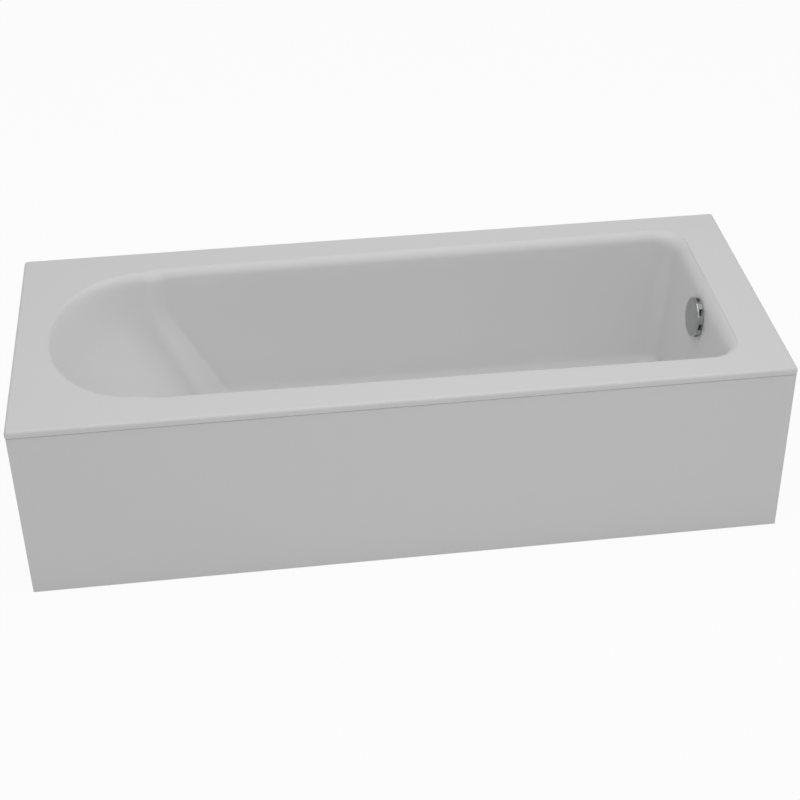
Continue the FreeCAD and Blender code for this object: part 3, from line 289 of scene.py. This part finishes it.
# Base board: chipboard bedded in the wet glass fibre under the floor, so that the cradle has
# something to be screwed to. Flakes of every brown show on its faces.
board_mat, _, board_skin = skinned(
    "chipboard", tone=(0.4, 0.3, 0.2), drift=0.15, drift_scale=6.0,
    gloss=(0.7, 0.9), grain_scale=500.0, grain_depth=0.0005)
board_tree = board_mat.node_tree
board_place = board_tree.nodes.new("ShaderNodeTexCoord")
board_lay = board_tree.nodes.new("ShaderNodeMapping")
board_lay.inputs["Scale"].default_value = (120.0, 300.0, 300.0)
board_flake = board_tree.nodes.new("ShaderNodeTexVoronoi")
board_flake.inputs["Scale"].default_value = 1.0
board_ramp = board_tree.nodes.new("ShaderNodeValToRGB")
board_ramp.color_ramp.elements[0].color = (0.20, 0.12, 0.06, 1.0)
board_ramp.color_ramp.elements[1].color = (0.58, 0.43, 0.27, 1.0)
board_pick = board_tree.nodes.new("ShaderNodeSeparateColor")
board_tree.links.new(board_place.outputs["Object"], board_lay.inputs["Vector"])
board_tree.links.new(board_lay.outputs[0], board_flake.inputs["Vector"])
board_tree.links.new(board_flake.outputs["Color"], board_pick.inputs[0])
board_tree.links.new(board_pick.outputs["Red"], board_ramp.inputs[0])
board_tree.links.new(board_ramp.outputs[0], board_skin.inputs["Tone"])
dress(board_mat, "base_board")


# Rim battens: planed softwood glassed under the rim to stiffen it, with the grain along each
# batten. The two long ones carry the panel clips in front and the wall brackets behind.
def softwood(name, along):
    """Softwood with its grain along one direction."""
    mat, _, coat = skinned(
        name, tone=(0.6, 0.45, 0.3), drift=0.12, drift_scale=8.0,
        gloss=(0.55, 0.75), grain_scale=400.0, grain_depth=0.0003)
    tree = mat.node_tree
    place = tree.nodes.new("ShaderNodeTexCoord")
    lay = tree.nodes.new("ShaderNodeMapping")
    lay.inputs["Scale"].default_value = [4.0 if axis == along else 150.0 for axis in "XYZ"]
    rings = tree.nodes.new("ShaderNodeTexNoise")
    rings.inputs["Scale"].default_value = 1.0
    rings.inputs["Detail"].default_value = 5.0
    rings.inputs["Distortion"].default_value = 0.6
    ramp = tree.nodes.new("ShaderNodeValToRGB")
    ramp.color_ramp.elements[0].position = 0.35
    ramp.color_ramp.elements[0].color = (0.42, 0.27, 0.14, 1.0)
    ramp.color_ramp.elements[1].position = 0.65
    ramp.color_ramp.elements[1].color = (0.66, 0.50, 0.32, 1.0)
    tree.links.new(place.outputs["Object"], lay.inputs["Vector"])
    tree.links.new(lay.outputs[0], rings.inputs["Vector"])
    tree.links.new(rings.outputs["Fac"], ramp.inputs[0])
    tree.links.new(ramp.outputs[0], coat.inputs["Tone"])
    return mat


dress(softwood("softwood_long", "X"), "rim_batten_front", "rim_batten_rear")
dress(softwood("softwood_cross", "Y"), "rim_batten_head", "rim_batten_foot")


# Cradle rails: channels folded from galvanised sheet, screwed up into the base board.
# The zinc has set in flat crystals that take the light differently from one to the next.
def spangled(name, dark, light):
    """Galvanised steel with crystals a centimetre across."""
    mat, shader, coat = skinned(
        name, tone=light, drift=0.05, drift_scale=12.0,
        gloss=(0.35, 0.5), grain_scale=700.0, grain_depth=0.00005)
    shader.inputs["Metallic"].default_value = 0.9
    tree = mat.node_tree
    place = tree.nodes.new("ShaderNodeTexCoord")
    crystal = tree.nodes.new("ShaderNodeTexVoronoi")
    crystal.inputs["Scale"].default_value = 95.0
    pick = tree.nodes.new("ShaderNodeSeparateColor")
    ramp = tree.nodes.new("ShaderNodeValToRGB")
    ramp.color_ramp.elements[0].color = (*dark, 1.0)
    ramp.color_ramp.elements[1].color = (*light, 1.0)
    tree.links.new(place.outputs["Object"], crystal.inputs["Vector"])
    tree.links.new(crystal.outputs["Color"], pick.inputs[0])
    tree.links.new(pick.outputs["Green"], ramp.inputs[0])
    tree.links.new(ramp.outputs[0], coat.inputs["Tone"])
    return mat


galvanised = spangled("galvanised_sheet", (0.42, 0.44, 0.46), (0.62, 0.64, 0.66))
dress(galvanised, "cradle_rail_head", "cradle_rail_foot")


# Cradle screws: pan heads driven up through the rails into the base board.
# Their zinc plating is also the finish of the studs, nuts and other small steel pieces.
zinc, zinc_shader, _ = skinned(
    "zinc_plate", tone=(0.58, 0.58, 0.56), drift=0.12, drift_scale=60.0,
    gloss=(0.28, 0.42), grain_scale=1500.0, grain_depth=0.00003)
zinc_shader.inputs["Metallic"].default_value = 1.0
dress(zinc, "cradle_screws")


# Level feet: a threaded stud standing in the socket of a moulded pad. The thread runs the whole
# length of the stud, so the foot can be wound up or down through the rail's nuts.
thread_pitch = 0.00175
thread_depth = 0.0009
thread_steps = 28
thread_outline_shares = (0.0, 0.4, 0.6)
weld_distance = 1e-6
for number in "1234":
    low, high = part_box("foot_stud_" + number)
    middle = (low + high) / 2
    crest = (high.x - low.x) / 2
    root = crest - thread_depth
    stud_bm = bmesh.new()
    teeth = math.ceil((high.z - low.z) / thread_pitch) + 2
    outline = []
    for tooth in range(teeth):
        start = low.z + (tooth - 1) * thread_pitch
        for share, radius in zip(thread_outline_shares, (root, crest, crest)):
            place = (middle.x + radius, middle.y, start + share * thread_pitch)
            outline.append(stud_bm.verts.new(place))
    flank = [stud_bm.edges.new(pair) for pair in zip(outline, outline[1:])]
    bmesh.ops.spin(stud_bm, geom=outline + flank, cent=(middle.x, middle.y, 0), axis=(0, 0, 1),
                   dvec=(0, 0, thread_pitch / thread_steps), angle=math.tau, steps=thread_steps,
                   use_merge=False)
    bmesh.ops.remove_doubles(stud_bm, verts=stud_bm.verts, dist=weld_distance)
    for height, normal in ((low.z, (0, 0, -1)), (high.z, (0, 0, 1))):
        everything = stud_bm.verts[:] + stud_bm.edges[:] + stud_bm.faces[:]
        cut = bmesh.ops.bisect_plane(stud_bm, geom=everything, plane_co=(0, 0, height),
                                     plane_no=normal, clear_outer=True)
        rim = [e for e in cut["geom_cut"] if isinstance(e, bmesh.types.BMEdge)]
        bmesh.ops.contextual_create(stud_bm, geom=rim)
    bmesh.ops.recalc_face_normals(stud_bm, faces=stud_bm.faces)
    stud_mesh = bpy.data.meshes.new("threaded_stud_" + number)
    stud_bm.to_mesh(stud_mesh)
    stud_bm.free()
    stud_mesh.materials.append(zinc)
    stud = bpy.data.objects.new("threaded_stud_" + number, stud_mesh)
    scene.collection.objects.link(stud)
    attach(stud, "foot_" + number)
    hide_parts("foot_stud_" + number)

pad_mat, _, _ = skinned(
    "black_moulding", tone=(0.03, 0.03, 0.033), drift=0.3, drift_scale=40.0,
    gloss=(0.45, 0.6), grain_scale=1100.0, grain_depth=0.0003)
dress(pad_mat, "foot_pad_1", "foot_pad_2", "foot_pad_3", "foot_pad_4")


# Nuts: one pair on each stud grips the rail between them.
# The upper one sets the height and the lower one locks it.
dress(zinc, "rail_nuts", "lock_nuts")


# Front panel: a tray of the same acrylic as the bath, a little less glossy.
# It hangs behind the lip on its stepped upstand.
panel_mat, panel_shader, _ = skinned(
    "panel_acrylic", tone=(0.8, 0.8, 0.805), drift=0.015, drift_scale=2.0,
    gloss=(0.34, 0.4), grain_scale=60.0, grain_depth=0.00003)
panel_shader.inputs["Specular IOR Level"].default_value = 0.3
dress(panel_mat, "front_panel")


# Panel clips: bowed leaves of spring steel carried by the front batten.
# They press on the back of the upstand and hold the panel up.
spring, spring_shader, _ = skinned(
    "spring_steel", tone=(0.44, 0.45, 0.47), drift=0.1, drift_scale=50.0,
    gloss=(0.25, 0.38), grain_scale=900.0, grain_depth=0.00003)
spring_shader.inputs["Metallic"].default_value = 1.0
dress(spring, "panel_clips")


# Panel catches: a moulded arm in the end of each rail holds a magnet, which meets a steel plate
# glued to the panel near the floor.
dress(pad_mat, "panel_catch_arms")
magnet_mat, _, _ = skinned(
    "ferrite", tone=(0.05, 0.05, 0.055), drift=0.3, drift_scale=90.0,
    gloss=(0.5, 0.7), grain_scale=1600.0, grain_depth=0.0001)
dress(magnet_mat, "catch_magnets")
dress(zinc, "strike_plates")


# Wall brackets: galvanised angles screwed under the rear batten.
# Each has a hole for a wall screw in the leg that faces the wall.
dress(galvanised, "wall_bracket_head", "wall_bracket_foot")
dress(zinc, "wall_bracket_screws")


# Waste: a chrome flange clamps the floor between two rubber seals, its tube screwed into a
# moulded cup below. The plug's lid rides on a stem in the flange's three-armed guide.
chrome, chrome_shader, _ = skinned(
    "chrome_plate", tone=(0.46, 0.47, 0.46), drift=0.05, drift_scale=30.0,
    gloss=(0.07, 0.12), grain_scale=900.0, grain_depth=0.00001)
chrome_shader.inputs["Metallic"].default_value = 1.0
dress(chrome, "waste_flange", "plug_cap", "plug_stem")
rubber, _, _ = skinned(
    "black_rubber", tone=(0.025, 0.025, 0.025), drift=0.3, drift_scale=60.0,
    gloss=(0.6, 0.8), grain_scale=1300.0, grain_depth=0.0002)
dress(rubber, "waste_upper_seal", "waste_lower_seal", "plug_seal")
plastic, _, _ = skinned(
    "white_moulding", tone=(0.66, 0.66, 0.65), drift=0.05, drift_scale=14.0,
    gloss=(0.36, 0.48), grain_scale=900.0, grain_depth=0.0001)
dress(plastic, "waste_body", "lift_lever")
dress(zinc, "lever_pin")


# Trap: a bent plastic pipe that leads from the waste towards the wall behind the bath.
# A ribbed nut joins it to the spigot of the cup.
dress(plastic, "trap_pipe", "trap_union_nut")


# Overflow: a chrome ring inside the basin, clamped through the foot wall to a moulded cup behind
# it. The knob in front turns a spindle, whose crank pulls the cable that lifts the plug.
dress(chrome, "overflow_flange", "overflow_knob")
dress(zinc, "overflow_screws", "knob_spindle")
dress(rubber, "overflow_gasket")
dress(plastic, "overflow_housing", "cable_crank")


# Overflow hose: thin plastic pipe blown into round ribs, so that it bends without closing.
# Its plain ends push on to the spigots of the overflow and of the waste, under smooth collars.
def tube_on_route(name, points, mat, profile, steps):
    """Tube along given control points; profile gives its closed section for a length."""
    data = bpy.data.curves.new(name + "_route", "CURVE")
    data.dimensions = "3D"
    data.resolution_u = 40
    spline = data.splines.new("NURBS")
    spline.points.add(len(points) - 1)
    for control, place in zip(spline.points, points):
        control.co = (*place, 1.0)
    spline.order_u = 3
    spline.use_endpoint_u = True
    route = bpy.data.objects.new(name + "_route", data)
    scene.collection.objects.link(route)
    line = bpy.data.meshes.new_from_object(route)
    places = [v.co for v in line.vertices]
    length = sum((far - near).length for near, far in zip(places, places[1:]))
    tube_bm = bmesh.new()
    ring = [tube_bm.verts.new((along, 0.0, radius)) for along, radius in profile(length)]
    sides = [tube_bm.edges.new(pair) for pair in zip(ring, ring[1:] + ring[:1])]
    bmesh.ops.spin(tube_bm, geom=ring + sides, cent=(0, 0, 0), axis=(1, 0, 0), angle=math.tau,
                   steps=steps, use_merge=True)
    bmesh.ops.recalc_face_normals(tube_bm, faces=tube_bm.faces)
    straight = bpy.data.meshes.new(name + "_straight")
    tube_bm.to_mesh(straight)
    tube_bm.free()
    tube = bpy.data.objects.new(name + "_straight", straight)
    scene.collection.objects.link(tube)
    bend = tube.modifiers.new("bend", "CURVE")
    bend.object = route
    bend.deform_axis = "POS_X"
    bpy.context.view_layer.update()
    graph = bpy.context.evaluated_depsgraph_get()
    bent = bpy.data.meshes.new_from_object(tube.evaluated_get(graph))
    bent.name = name
    bent.materials.clear()
    bent.materials.append(mat)
    bent.shade_smooth()
    piece = bpy.data.objects.new(name, bent)
    scene.collection.objects.link(piece)
    bpy.data.objects.remove(tube)
    bpy.data.objects.remove(route)
    return piece


hose_crest = 0.016
hose_root = 0.0138
hose_bore = 0.0125
hose_pitch = 0.006
hose_plain_end = 0.032
hose_rib_steps = 8
hose_rib_fullness = 0.7
hose_sides = 36


def hose_profile(length):
    """Outside of the hose rib by rib, then back along its bore."""
    ribs = round((length - 2 * hose_plain_end) / hose_pitch)
    first = (length - ribs * hose_pitch) / 2
    outside = [(0.0, hose_crest)]
    for step in range(ribs * hose_rib_steps + 1):
        swell = (0.5 + 0.5 * math.cos(math.tau * step / hose_rib_steps)) ** hose_rib_fullness
        along = first + step * hose_pitch / hose_rib_steps
        outside.append((along, hose_root + (hose_crest - hose_root) * swell))
    inside = [(first + rib * hose_pitch, hose_bore) for rib in reversed(range(ribs + 1))]
    return outside + [(length, hose_crest), (length, hose_bore)] + inside + [(0.0, hose_bore)]


hose_mat, _, _ = skinned(
    "hose_plastic", tone=(0.60, 0.60, 0.59), drift=0.06, drift_scale=20.0,
    gloss=(0.35, 0.5), grain_scale=700.0, grain_depth=0.0001)
hose_points = [(0.75413, 0.0, 0.308), (0.75413, 0.0, 0.302), (0.75413, 0.0, 0.232),
               (0.75273, -0.0475, 0.1806), (0.7516, -0.0859, 0.1392), (0.75013, -0.136, 0.085),
               (0.695, -0.14, 0.036), (0.6137, -0.14, 0.036), (0.575, -0.1013, 0.036),
               (0.575, -0.058, 0.036), (0.575, -0.054, 0.036)]
hose = tube_on_route("ribbed_hose", hose_points, hose_mat, hose_profile, hose_sides)
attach(hose, "bath")
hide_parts("overflow_hose")
dress(plastic, "hose_collar_upper", "hose_collar_lower")


# Control cable: a wire in a black plastic sheath, from the overflow's gland to the waste's.
# A short crimped sleeve grips the sheath where it enters each gland.
cable_radius = 0.0025
cable_bore = 0.0007
cable_step = 0.006
cable_sides = 20
sleeve_radius = 0.0034
sleeve_length = 0.016
sleeve_start = 0.003
sleeve_end = sleeve_start + sleeve_length


def cable_profile(length):
    """Round sheath with a sleeve near each end, then back along the bore of its wire."""
    near = [(0.0, cable_bore), (0.0, cable_radius), (sleeve_start, cable_radius),
            (sleeve_start, sleeve_radius), (sleeve_end, sleeve_radius), (sleeve_end, cable_radius)]
    stations = int((length - 2 * sleeve_end) / cable_step)
    places = [sleeve_end + step * cable_step for step in range(1, stations)]
    far = [(length - along, radius) for along, radius in reversed(near)]
    outside = [(along, cable_radius) for along in places]
    inside = [(along, cable_bore) for along in reversed(places)]
    return near + outside + far + inside


sheath, _, _ = skinned(
    "cable_sheath", tone=(0.035, 0.035, 0.038), drift=0.2, drift_scale=60.0,
    gloss=(0.4, 0.5), grain_scale=1200.0, grain_depth=0.0001)
cable_points = [(0.75413, 0.024, 0.334), (0.75413, 0.024, 0.328), (0.75413, 0.024, 0.282),
                (0.74927, 0.03522, 0.23767), (0.73416, 0.07009, 0.09994), (0.72813, 0.084, 0.045),
                (0.675, 0.084, 0.024), (0.622, 0.084, 0.024), (0.5955, 0.084, 0.024),
                (0.575, 0.0635, 0.024), (0.575, 0.040, 0.024), (0.575, 0.036, 0.024)]
cable = tube_on_route("sheathed_cable", cable_points, sheath, cable_profile, cable_sides)
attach(cable, "bath")
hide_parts("control_cable")
